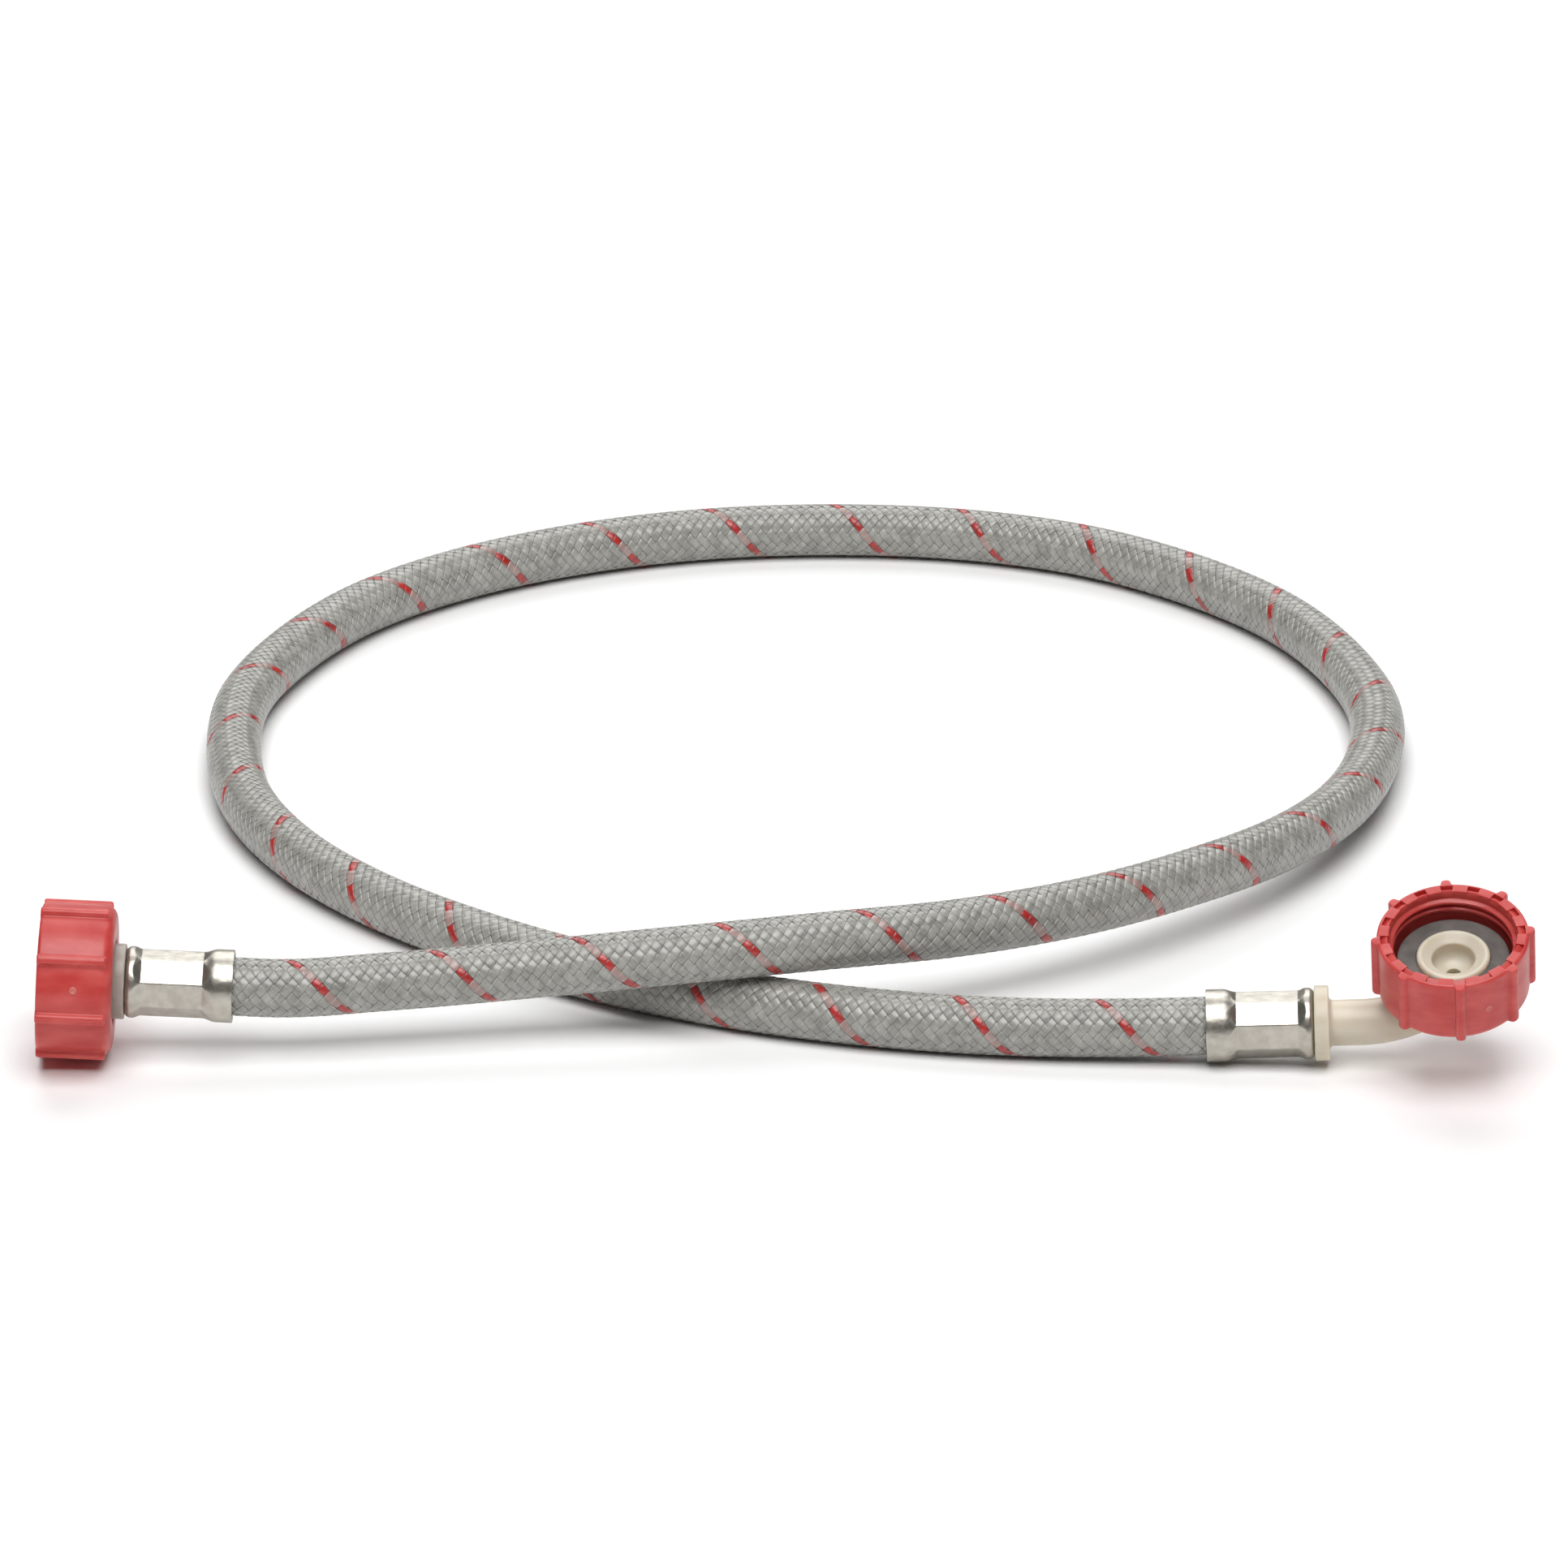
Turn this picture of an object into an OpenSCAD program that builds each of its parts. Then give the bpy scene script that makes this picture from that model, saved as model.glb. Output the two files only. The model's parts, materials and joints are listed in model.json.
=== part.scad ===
// Braided washing machine inlet hose, 1 m, with a straight and an elbow union nut.
// Millimetres, +Z up. The origin lies on the floor, at the middle of the two end fittings.

/* [Hose] */
// Outside diameter of the braid
hose_d = 12; // [11.6:0.1:12.2]
// Outside diameter of the rubber tube under the braid
liner_d = 10; // [9.6:0.1:10.4]
// Bore of the rubber tube
hose_bore_d = 8.4; // [8.2:0.1:8.8]

/* [Crimped ferrule] */
// Length of the ferrule along the hose
ferrule_len = 22; // [20:0.1:24]
// Diameter of the flared mouth, where the hose enters
mouth_d = 14.9; // [14:0.1:15.2]
// Diameter of the round shoulder beside the collar
shoulder_d = 14.6; // [13.8:0.1:14.8]
// Diameter of the waist, over the edges between the flats
waist_d = 13.6; // [13.4:0.1:13.6]
// Distance across the eight pressed flats
flats_d = 12.6; // [12.6:0.1:12.8]
// Distance from the mouth to the start of the flats
flats_start = 6.2; // [5:0.1:7]
// Length of the flats
flats_len = 12.7; // [10:0.1:13]

/* [Nylon tail] */
// Outside diameter of the elbow pipe
pipe_d = 9.4; // [9:0.1:9.6]
// Water passage through the tail
passage_d = 6; // [5:0.1:6.4]
// Diameter of the collar that stops the ferrule
collar_d = 15.4; // [14:0.1:16]
// Thickness of the collar
collar_t = 3; // [2.8:0.1:3.4]
// Diameter of the head flange that the nut pulls on
flange_d = 22.4; // [21:0.1:23]
// Thickness of the head flange
flange_t = 2.9; // [2.4:0.1:3.2]
// Diameter of the dished spigot inside the gasket
spigot_d = 14.9; // [14:0.1:14.9]
// Height of the spigot above the gasket
spigot_proud = 0.9; // [0.4:0.1:1.2]

/* [Elbow] */
// Centreline radius of the elbow bend
bend_r = 22; // [21.6:0.1:22.4]
// Angle that the pipe sweeps before it meets the head
bend_angle = 60; // [59:0.5:61]
// Straight pipe between the collar and the bend
bend_start = 6.4; // [6:0.1:6.8]
// Lean of the elbow about the hose axis, away from upright
elbow_lean = 19; // [15:1:25]
// Height of the nut's back face above the elbow pipe's axis
elbow_nut_rise = 8.4; // [8.2:0.1:8.8]

/* [Union nut] */
// Minor diameter of the G 3/4 internal thread
thread_minor_d = 24.12; // [24.1:0.01:24.2]
// Diameter of the plain lead-in at the rim
lead_in_d = 25.8; // [25.2:0.1:26]
// Depth of the lead-in
lead_in_depth = 1; // [0.5:0.1:1.5]
// Diameter of the plain chamber behind the thread, round the flange and gasket
chamber_d = 25.2; // [25:0.1:25.6]
// Outside diameter of the nut between its ribs
nut_d = 30.8; // [30.4:0.1:31.4]
// Length of the nut
nut_len = 15.2; // [15:0.1:16]
// Thickness of the nut's back wall
back_wall = 2.8; // [2.4:0.1:3]
// Hole in the back wall, which clears the collar and the elbow pipe
back_hole_d = 17.6; // [17.4:0.1:18]
// Number of grip ribs
rib_count = 8; // [6:1:12]
// Width of a grip rib
rib_w = 2; // [1.6:0.1:2.4]
// Height of a grip rib above the nut's body
rib_h = 1.2; // [0.8:0.1:1.4]
// Distance from the back face to where the ribs end
rib_start = 1.1; // [0.8:0.1:1.6]
// Chamfer round the back edge
back_chamfer = 2.2; // [1:0.1:2.4]

/* [Gasket] */
// Outside diameter of the flat rubber washer
gasket_d = 23.4; // [22.6:0.1:23.8]
// Inside diameter of the washer
gasket_bore_d = 15; // [14.9:0.1:15.4]
// Thickness of the washer
gasket_t = 2.8; // [2.2:0.1:3]

/* [Hidden] */
$fn = 96;

nut_red = [0.87, 0.33, 0.32];
nylon_ivory = [0.93, 0.90, 0.82];
nylon_grey = [0.80, 0.78, 0.74];
steel = [0.78, 0.78, 0.77];
rubber_grey = [0.36, 0.35, 0.34];
braid_grey = [0.72, 0.71, 0.70];

// Route of the hose's centre line: up over the lower run near the straight end, round one
// loop on the floor, and under the first run to the elbow end. The first two and last two
// points lie in the ferrules, in line with the next one.
floor_z = hose_d / 2;
route = [
    [-132, 6, 16.2],
    [-112, 6, 15.2],
    [-104, 6, 14.8],
    [-80, 8.5, 15.2],
    [-50, 12.5, 16.3],
    [-22, 15.5, 17.9],
    [8, 21.5, 18.4],
    [36, 30.5, 17.4],
    [62, 45, 15.8],
    [85, 65, 13.6],
    [105, 88, 11.2],
    [120, 115, 9.1],
    [128, 144, 7.4],
    [130, 173, 6.4],
    [124, 202, 6.1],
    [112, 229, floor_z],
    [93, 252, floor_z],
    [69, 270, floor_z],
    [41, 280, floor_z],
    [11, 283, floor_z],
    [-19, 280, floor_z],
    [-47, 271, floor_z],
    [-73, 256, floor_z],
    [-95, 235, floor_z],
    [-110, 209, floor_z],
    [-119, 181, floor_z],
    [-120, 151, floor_z],
    [-115, 121, floor_z],
    [-103, 94, floor_z],
    [-85, 70, floor_z],
    [-63, 50, floor_z],
    [-38, 33, floor_z],
    [-11, 20, floor_z],
    [18, 11, floor_z],
    [47, 6, 6.2],
    [76, 4, 7],
    [86, 3.5, 7.5],
    [106, 2.5, 8.5],
];
route_last = len(route) - 1;
straight_mouth = route[1];
elbow_mouth = route[route_last - 1];
// Turns that point +X out of the hose along each fitting
straight_turn = turn_towards(route[0] - route[1]);
elbow_turn = turn_towards(route[route_last] - route[route_last - 1]);

// Rings of the swept tube
steps = 2;
ring_last = route_last * steps;
sides = 12;
// Radius of the braid where the ferrules squeeze it
crimped_r = 5.6;
// Play between the tube's layers
layer_gap = 0.05;
slack = 0.01;

// Heights along a nut's own axis, from its back face towards its rim
nut_play = 0.5;
flange_z = back_wall + nut_play;
gasket_z = flange_z + flange_t;
spigot_top_z = gasket_z + gasket_t + spigot_proud;
// The head: hub behind the flange, where it starts on the elbow, and inside the spigot a shallow
// dish, a round bowl with a wall as far down as its rounded floor, and a narrow throat
hub_d = 16;
elbow_hub_z = 0.8;
dish_d = 12.8;
dish_depth = 1.2;
bowl_d = 8.8;
bowl_wall_depth = 3.4;
bowl_depth = 5.4;
throat_d = 3;
throat_len = 3;
lead_chamfer = 0.5;

// Places along a fitting's own axis, from the ferrule's mouth outwards
collar_x = ferrule_len;
collar_end_x = collar_x + collar_t;
// Part of the straight end's collar that the nut covers
collar_cover = 0.8;
straight_nut_x = collar_end_x - collar_cover;
elbow_nut_x = collar_end_x + bend_start + bend_r * sin(bend_angle);

// Ferrule: crimped bore, flare inside its mouth, thick part of its mouth, round part of its
// waist past each end of the flats, rounding of its shoulder, and end wall with a hole for the tail
crimp_bore_r = 5.7;
flare_depth = 8;
flare_bore_r = 6.7;
mouth_rim = 1.4;
waist_margin = 0.3;
shoulder_round = 1.2;
flat_count = 8;
end_wall = 1;
end_hole_r = pipe_d / 2 + 0.1;

// Barbed spigot that the hose is crimped on
barb_len = 18;
barb_r = 3.9;
barb_root_r = 3.5;
barb_count = 5;

// Root of the nut's ribs inside its body, pockets in the rim, gate mark, and turn of the ribs
rib_root = 1;
pocket_count = 2 * rib_count;
pocket_w = 2.4;
pocket_from_r = 13.35;
pocket_to_r = 14.5;
pocket_depth = 1.1;
gate_d = 1.6;
gate_h = 0.15;
straight_rib_phase = 78;
elbow_rib_phase = -86;

function turn_towards(v) = [0, -asin(v[2] / norm(v)), atan2(v[1], v[0])];
function unit(v) = v / norm(v);

// Smooth curve through the route's points
function route_point(i) =
    i < 0 ? 2 * route[0] - route[1] :
    i > route_last ? 2 * route[route_last] - route[route_last - 1] :
    route[i];
function slope(a, b, c) =
    let (back = norm(b - a), on = norm(c - b))
    ((b - a) / back * on + (c - b) / on * back) / (back + on);
function curve(a, b, c, d, t) =
    let (chord = norm(c - b))
    (2 * t ^ 3 - 3 * t ^ 2 + 1) * b + (t ^ 3 - 2 * t ^ 2 + t) * chord * slope(a, b, c)
    + (3 * t ^ 2 - 2 * t ^ 3) * c + (t ^ 3 - t ^ 2) * chord * slope(b, c, d);
function spine(k) =
    let (i = min(floor(k / steps), route_last - 1))
    curve(route_point(i - 1), route_point(i), route_point(i + 1), route_point(i + 2),
          k / steps - i);
centres = [for (k = [0:ring_last]) spine(k)];
function along(k) = unit(centres[min(k + 1, ring_last)] - centres[max(k - 1, 0)]);
function ring(k, r) =
    let (left = unit(cross([0, 0, 1], along(k))), up = cross(along(k), left))
    [for (s = [0:sides - 1]) centres[k] + r * (cos(360 * s / sides) * left + sin(360 * s / sides) * up)];
function in_ferrule(k) = k < steps || k > ring_last - steps;

// Two triangles for each patch between two rows of the swept wall
function wall_faces(first, outward) =
    [for (k = [0:ring_last - 1], s = [0:sides - 1])
        let (a = first + k * sides + s, b = first + k * sides + (s + 1) % sides)
        each outward ? [[a, b, a + sides], [b, b + sides, a + sides]]
                     : [[b, a, a + sides], [b + sides, b, a + sides]]];
function end_faces(outer, inner, outward) =
    [for (s = [0:sides - 1])
        let (a = outer + s, b = outer + (s + 1) % sides, c = inner + s, d = inner + (s + 1) % sides)
        each outward ? [[a, b, c], [b, d, c]] : [[b, a, c], [d, b, c]]];

// Hollow tube along the route, with its own outer and inner radius at each ring
module swept_tube(outer_r, inner_r) {
    outer = [for (k = [0:ring_last]) each ring(k, outer_r[k])];
    inner = [for (k = [0:ring_last]) each ring(k, inner_r)];
    count = len(outer);
    polyhedron(
        points = concat(outer, inner),
        faces = concat(
            wall_faces(0, true),
            wall_faces(count, false),
            end_faces(0, count, false),
            end_faces(count - sides, 2 * count - sides, true)),
        convexity = 10);
}

// Children drawn with +X pointing out of the hose along the fitting, from the ferrule's mouth
module at_straight_end() {
    translate(straight_mouth) rotate(straight_turn) children();
}

module at_elbow_end() {
    translate(elbow_mouth) rotate(elbow_turn) children();
}

// The same, turned so that +Z is the way the elbow bends
module along_elbow() {
    at_elbow_end() rotate([elbow_lean, 0, 0]) children();
}

// Children drawn with +Z along a nut's axis, from its back face
module on_straight_nut_axis() {
    at_straight_end() translate([straight_nut_x, 0, 0]) rotate([0, 90, 0]) children();
}

module on_elbow_nut_axis() {
    along_elbow() translate([elbow_nut_x, 0, elbow_nut_rise]) children();
}

module along_x(x, length, r) {
    translate([x, 0, 0]) rotate([0, 90, 0]) cylinder(h = length, r = r);
}

module hose_liner() {
    color(rubber_grey)
        swept_tube([for (k = [0:ring_last]) liner_d / 2], hose_bore_d / 2);
}

module hose_braid() {
    color(braid_grey)
        swept_tube([for (k = [0:ring_last]) in_ferrule(k) ? crimped_r : hose_d / 2],
                   liner_d / 2 + layer_gap);
}

// Crimped sleeve: flared mouth, eight pressed flats and a rounded shoulder
module ferrule() {
    flats_end = flats_start + flats_len;
    round_r = shoulder_d / 2 - shoulder_round;
    round_x = ferrule_len - shoulder_round;
    difference() {
        rotate([0, 90, 0]) rotate_extrude() polygon(concat(
            [[0, 0], [mouth_d / 2, 0], [mouth_d / 2, mouth_rim],
             [waist_d / 2, flats_start - waist_margin], [waist_d / 2, flats_end + waist_margin]],
            [for (a = [0:15:90])
                [round_r + shoulder_round * cos(a), round_x + shoulder_round * sin(a)]],
            [[0, ferrule_len]]));
        for (i = [0:flat_count - 1])
            rotate([360 * i / flat_count, 0, 0]) translate([flats_start, -waist_d / 2, flats_d / 2])
                cube([flats_len, waist_d, waist_d]);
        along_x(-slack, ferrule_len - end_wall + slack, crimp_bore_r);
        along_x(-slack, ferrule_len + 2 * slack, end_hole_r);
        rotate([0, 90, 0]) translate([0, 0, -slack])
            cylinder(h = flare_depth + slack, r1 = flare_bore_r, r2 = crimp_bore_r);
    }
}

module straight_ferrule() {
    color(steel) at_straight_end() ferrule();
}

module elbow_ferrule() {
    color(steel) at_elbow_end() ferrule();
}

// Barbed spigot inside the hose, the stretch through the ferrule's end wall, and the collar
module barbed_end() {
    pitch = barb_len / barb_count;
    barb_x = ferrule_len - end_wall - barb_len;
    for (i = [0:barb_count - 1])
        translate([barb_x + i * pitch, 0, 0]) rotate([0, 90, 0])
            cylinder(h = pitch + slack, r1 = barb_root_r, r2 = barb_r);
    along_x(ferrule_len - end_wall, end_wall + slack, pipe_d / 2);
    along_x(collar_x, collar_t, collar_d / 2);
}

// Head that the nut holds: hub, flange and spigot, along a nut's axis
module head(hub_z) {
    translate([0, 0, hub_z]) cylinder(h = flange_z - hub_z + slack, d = hub_d);
    translate([0, 0, flange_z]) cylinder(h = flange_t, d = flange_d);
    rotate_extrude() polygon([
        [0, gasket_z - slack], [spigot_d / 2, gasket_z - slack],
        [spigot_d / 2, spigot_top_z - lead_chamfer],
        [spigot_d / 2 - lead_chamfer, spigot_top_z], [0, spigot_top_z]]);
}

module dish() {
    bowl_r = bowl_d / 2;
    throat_r = throat_d / 2;
    translate([0, 0, spigot_top_z]) rotate_extrude() polygon([
        [0, slack], [dish_d / 2, slack], [dish_d / 2, 0], [bowl_r, -dish_depth],
        [bowl_r, -bowl_wall_depth], [bowl_r - 0.6, -bowl_wall_depth - 1.2],
        [throat_r, -bowl_depth], [throat_r, -bowl_depth - throat_len],
        [0, -bowl_depth - throat_len]]);
}

module straight_tail() {
    color(nylon_grey) difference() {
        union() {
            at_straight_end() barbed_end();
            on_straight_nut_axis() head(collar_cover - slack);
        }
        at_straight_end()
            along_x(0, straight_nut_x + spigot_top_z - bowl_depth - throat_len / 2, passage_d / 2);
        on_straight_nut_axis() dish();
    }
}

// Bent pipe of the elbow, or its passage: straight, then an arc up towards the nut
module elbow_pipe(r, from_x) {
    along_x(from_x, collar_end_x + bend_start - from_x, r);
    translate([collar_end_x + bend_start, 0, bend_r]) rotate([90, 0, 0])
        rotate_extrude(angle = bend_angle, start = -90) translate([bend_r, 0]) circle(r = r);
}

module elbow_tail() {
    color(nylon_ivory) difference() {
        union() {
            along_elbow() {
                barbed_end();
                elbow_pipe(pipe_d / 2, collar_end_x - slack);
            }
            on_elbow_nut_axis() head(elbow_hub_z);
        }
        along_elbow() elbow_pipe(passage_d / 2, 0);
        on_elbow_nut_axis() dish();
    }
}

module gasket() {
    translate([0, 0, gasket_z]) difference() {
        cylinder(h = gasket_t, d = gasket_d);
        translate([0, 0, -slack]) cylinder(h = gasket_t + 2 * slack, d = gasket_bore_d);
    }
}

module straight_gasket() {
    color(rubber_grey) on_straight_nut_axis() gasket();
}

module elbow_gasket() {
    color(rubber_grey) on_elbow_nut_axis() gasket();
}

module rim_pocket() {
    translate([pocket_from_r, -pocket_w / 2, nut_len - pocket_depth])
        cube([pocket_to_r - pocket_from_r, pocket_w, nut_len]);
}

// Union nut: ribbed body, threaded bore, back wall with its hole, and pockets in the rim
module nut(rib_phase) {
    body_r = nut_d / 2;
    root_r = body_r - rib_root;
    difference() {
        union() {
            cylinder(h = back_chamfer, r1 = body_r - back_chamfer, r2 = body_r);
            translate([0, 0, back_chamfer]) cylinder(h = nut_len - back_chamfer, r = body_r);
            for (i = [0:rib_count - 1])
                rotate([0, 0, rib_phase + 360 * i / rib_count]) {
                    translate([root_r, -rib_w / 2, rib_start])
                        cube([rib_root + rib_h - rib_w / 4, rib_w, nut_len - rib_start]);
                    translate([root_r, -rib_w / 4, rib_start])
                        cube([rib_root + rib_h, rib_w / 2, nut_len - rib_start]);
                }
            rotate([0, 0, rib_phase + 180 / rib_count]) translate([root_r, 0, nut_len / 2])
                rotate([0, 90, 0]) cylinder(h = rib_root + gate_h, d = gate_d);
        }
        translate([0, 0, back_wall]) cylinder(h = spigot_top_z - back_wall, d = chamber_d);
        translate([0, 0, back_wall]) cylinder(h = nut_len, d = thread_minor_d);
        translate([0, 0, nut_len - lead_in_depth]) cylinder(h = nut_len, d = lead_in_d);
        translate([0, 0, -slack]) cylinder(h = nut_len, d = back_hole_d);
        for (i = [0:pocket_count - 1])
            rotate([0, 0, rib_phase + 360 * i / pocket_count]) rim_pocket();
    }
}

module straight_nut() {
    color(nut_red) on_straight_nut_axis() nut(straight_rib_phase);
}

module elbow_nut() {
    color(nut_red) on_elbow_nut_axis() nut(elbow_rib_phase);
}

hose_liner();
hose_braid();
straight_ferrule();
straight_tail();
straight_gasket();
straight_nut();
elbow_ferrule();
elbow_tail();
elbow_gasket();
elbow_nut();
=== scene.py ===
"""Looks of a braided supply hose with two union nuts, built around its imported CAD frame.

Lengths are written in millimetres and enter Blender through MM. Along a fitting, x runs out of
the hose from the ferrule's mouth. Along a nut, z runs outwards from its back face.
"""

import json
import math

import bpy
import numpy as np
from mathutils import Matrix, Vector


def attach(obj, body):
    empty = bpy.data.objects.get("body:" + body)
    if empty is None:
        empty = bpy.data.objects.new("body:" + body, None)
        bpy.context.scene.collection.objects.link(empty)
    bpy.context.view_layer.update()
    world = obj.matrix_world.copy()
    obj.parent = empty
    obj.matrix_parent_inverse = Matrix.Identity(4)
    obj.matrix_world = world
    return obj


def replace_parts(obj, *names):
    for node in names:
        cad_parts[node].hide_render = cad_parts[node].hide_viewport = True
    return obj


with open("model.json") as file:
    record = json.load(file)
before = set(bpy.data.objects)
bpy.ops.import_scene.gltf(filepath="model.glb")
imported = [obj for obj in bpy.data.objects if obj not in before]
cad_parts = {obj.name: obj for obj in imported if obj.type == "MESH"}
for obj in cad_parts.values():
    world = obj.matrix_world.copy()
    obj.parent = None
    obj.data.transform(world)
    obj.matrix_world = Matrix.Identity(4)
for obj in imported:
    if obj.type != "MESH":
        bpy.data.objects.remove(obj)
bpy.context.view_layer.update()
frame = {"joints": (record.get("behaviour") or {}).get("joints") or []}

MM = 0.001
UP = Vector((0, 0, 1))

# Route of the hose's centre line, with 20 mm inside each ferrule
FLOOR_Z = 6
ROUTE = [
    (-132, 6, 16.2),
    (-112, 6, 15.2),
    (-104, 6, 14.8),
    (-80, 8.5, 15.2),
    (-50, 12.5, 16.3),
    (-22, 15.5, 17.9),
    (8, 21.5, 18.4),
    (36, 30.5, 17.4),
    (62, 45, 15.8),
    (85, 65, 13.6),
    (105, 88, 11.2),
    (120, 115, 9.1),
    (128, 144, 7.4),
    (130, 173, 6.4),
    (124, 202, 6.1),
    (112, 229, FLOOR_Z),
    (93, 252, FLOOR_Z),
    (69, 270, FLOOR_Z),
    (41, 280, FLOOR_Z),
    (11, 283, FLOOR_Z),
    (-19, 280, FLOOR_Z),
    (-47, 271, FLOOR_Z),
    (-73, 256, FLOOR_Z),
    (-95, 235, FLOOR_Z),
    (-110, 209, FLOOR_Z),
    (-119, 181, FLOOR_Z),
    (-120, 151, FLOOR_Z),
    (-115, 121, FLOOR_Z),
    (-103, 94, FLOOR_Z),
    (-85, 70, FLOOR_Z),
    (-63, 50, FLOOR_Z),
    (-38, 33, FLOOR_Z),
    (-11, 20, FLOOR_Z),
    (18, 11, FLOOR_Z),
    (47, 6, 6.2),
    (76, 4, 7),
    (86, 3.5, 7.5),
    (106, 2.5, 8.5),
]
ROUTE_STEPS = 40

# Hose
HOSE_R = 6
LINER_R = 5
BORE_R = 4.2
LINER_END = 19
LINER_SQUEEZE = 0.2
LINER_RINGS = 260
LINER_SIDES = 24
HIDDEN_END = 17
CRIMPED_R = 5.55
TAPER_START = 1.5
TAPER_LENGTH = 6

# Braid: two families of ribbons that wind opposite ways, over two and under two
PITCH = 29.307
CARRIERS = 12
CROSSING = PITCH / (2 * CARRIERS)
WEAVE_START = 2.08
TRACER_ANGLE = 5.29
RIBBON_W = 2.04
TRACER_W = 1.7
RIBBON_T = 0.3
RIBBON_RISE = 0.165
SAMPLES_PER_CROSSING = 2
RIBBON_NARROWS = 0.06
# Outline of a ribbon: across it from -1 to 1, and its skin's height in half thicknesses
RIBBON_OUTLINE = [(-1, 0), (-0.8, 0.75), (0, 1), (0.8, 0.75), (1, 0), (0.8, -1), (-0.8, -1)]

# Ferrule: a flared mouth, then a waist with eight flats, then a shoulder
FERRULE_LEN = 22
MOUTH_R = 7.45
WALL = 0.5
FLATS_R = 6.3
WAIST_R = 6.8
FLATS_START = 6.2
FLATS_END = 18.7
FLAT_RISE = 0.6
RIDGE_SOFTNESS = 0.05
SHOULDER_R = 7.3
SHOULDER_ROUND = 1.2
SHOULDER_X = FERRULE_LEN - SHOULDER_ROUND
FLARE_END = 3.4
FLAT_SIDES = 8
NECK_GAP = 0.1
END_WALL = 1
MOUTH_EDGE = (0.16, 0.04)
FERRULE_COLUMNS = 320
SHARP_STEEL = 38

# Tails
BARBS_LEN = 18
TAIL_START = FERRULE_LEN - END_WALL - BARBS_LEN
BARB_COUNT = 5
BARB_R = 3.9
BARB_ROOT_R = 3.5
COLLAR_R = 7.7
COLLAR_EDGE = 0.35
COLLAR_END = 25
PIPE_R = 4.7
PIPE_FILLET = 0.9
PIPE_START = COLLAR_END + 1.5
PASSAGE_R = 3
BEND_START = 6.4
BEND_R = 22
BEND_ANGLE = math.radians(60)

# Heads, along a nut's axis
FLANGE_Z = 3.3
GASKET_Z = 6.2
GASKET_T = 2.8
SPIGOT_TOP = 9.9
FLANGE_R = 11.2
EDGE = 0.2
HUB_R = 8
HUB_Z = 0.8
WASHER_R = 11.4
WASHER_BORE_R = 7.5
# Outline of the spigot's rim, dish, bowl and throat: radius, and depth under the rim's top
SPIGOT_R = 7.45
SPIGOT_OUTLINE = [
    (SPIGOT_R, 0.6), (7.36, 0.34), (7.15, 0.12), (6.9, 0), (6.5, 0.02), (6.32, 0.12), (5.6, 0.6),
    (4.95, 0.95), (4.55, 1.12), (4.42, 1.25), (4.38, 1.45), (4.36, 3), (4.2, 3.7), (3.85, 4.3),
    (3.3, 4.8), (2.6, 5.15), (1.8, 5.32), (1.5, 5.4), (1.5, 8.4), (PASSAGE_R, 8.4),
]

# Nuts
NUT_LEN = 15.2
NUT_R = 15.4
NUT_BACK_R = 15.35
BACK_ROUND = 2.4
RIM_ROUND = 0.7
BACK_WALL = 2.8
BACK_HOLE_R = 8.8
CHAMBER_R = 12.6
THREAD_MINOR_R = 12.06
THREAD_MAJOR_R = 12.95
THREAD_PITCH = 1.814
THREAD_RIDGE = 0.36
THREAD_FLANK = 0.22
THREAD_FADE_IN = 0.8
THREAD_FADE_OUT = 0.4
THREAD_STEP = 0.15
LIP_R = 12.9
LIP_END = 13.6
RIB_TOP_R = 16.6
RIBS = 8
# A rib's height over its full height, by distance in millimetres from the rib's middle
RIB_DISTANCE = [0, 0.45, 0.72, 0.9, 1.0, 1.06, 1.2, 1.4]
RIB_SHARE = [1, 0.96, 0.84, 0.62, 0.36, 0.15, 0.04, 0]
# The same by z, from the back edge up the side, and then round the rim
RIB_RISE = [
    (1.05, 0), (1.1, 0.7), (1.22, 0.88), (1.45, 0.97), (1.8, 1), (2.4, 1), (4, 1), (6, 1), (8, 1),
    (10, 1), (12, 1), (14, 1),
]
RIB_RIM_SHARE = [1, 0.99, 0.96, 0.88, 0.7]
# Angles, in degrees, from the middle of a pocket to each edge and curve of the ribs and pockets
SECTOR_ANGLES = [0, 1.67, 2.68, 3.35, 3.72, 3.94, 4.46, 4.95, 5.05, 5.3, 7.2, 9.2]
POCKETS = 16
POCKET_HALF_ANGLE = 5
POCKET_DEPTH = 1.1
POCKET_LIP_R = 13.35
POCKET_OUT_R = 14.7
POCKET_CHAMFER = 1
STRAIGHT_RIB_PHASE = math.radians(83)
ELBOW_RIB_PHASE = math.radians(-86)
SHARP_NUT = 38
# Outline of the gate mark: radius, and height over the nut's side
GATE_OUTLINE = [
    (0.8, -0.6), (0.8, 0.02), (0.74, 0.12), (0.6, 0.15), (0.46, 0.1), (0.3, 0.04), (0.05, 0.02),
    (0.05, -0.6),
]

# Camera
CAMERA_TARGET = Vector((0, 147, 0)) * MM
CAMERA_DISTANCE = 2047 * MM
CAMERA_ELEVATION = math.radians(23.04)
CAMERA_LENS = 215.6
SENSOR = 36

# Stage: the floor's size, the world's light, and lights as (name, place, size, power), in metres
FLOOR_SIZE = 14
WORLD_STRENGTH = 1.7
DARK_STRENGTH = 0.55
LIGHTS = [
    ("overhead", (0, -0.7, 1.9), 1.6, 44),
    ("back", (0, 1.6, 1.5), 1.8, 26),
]


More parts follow.
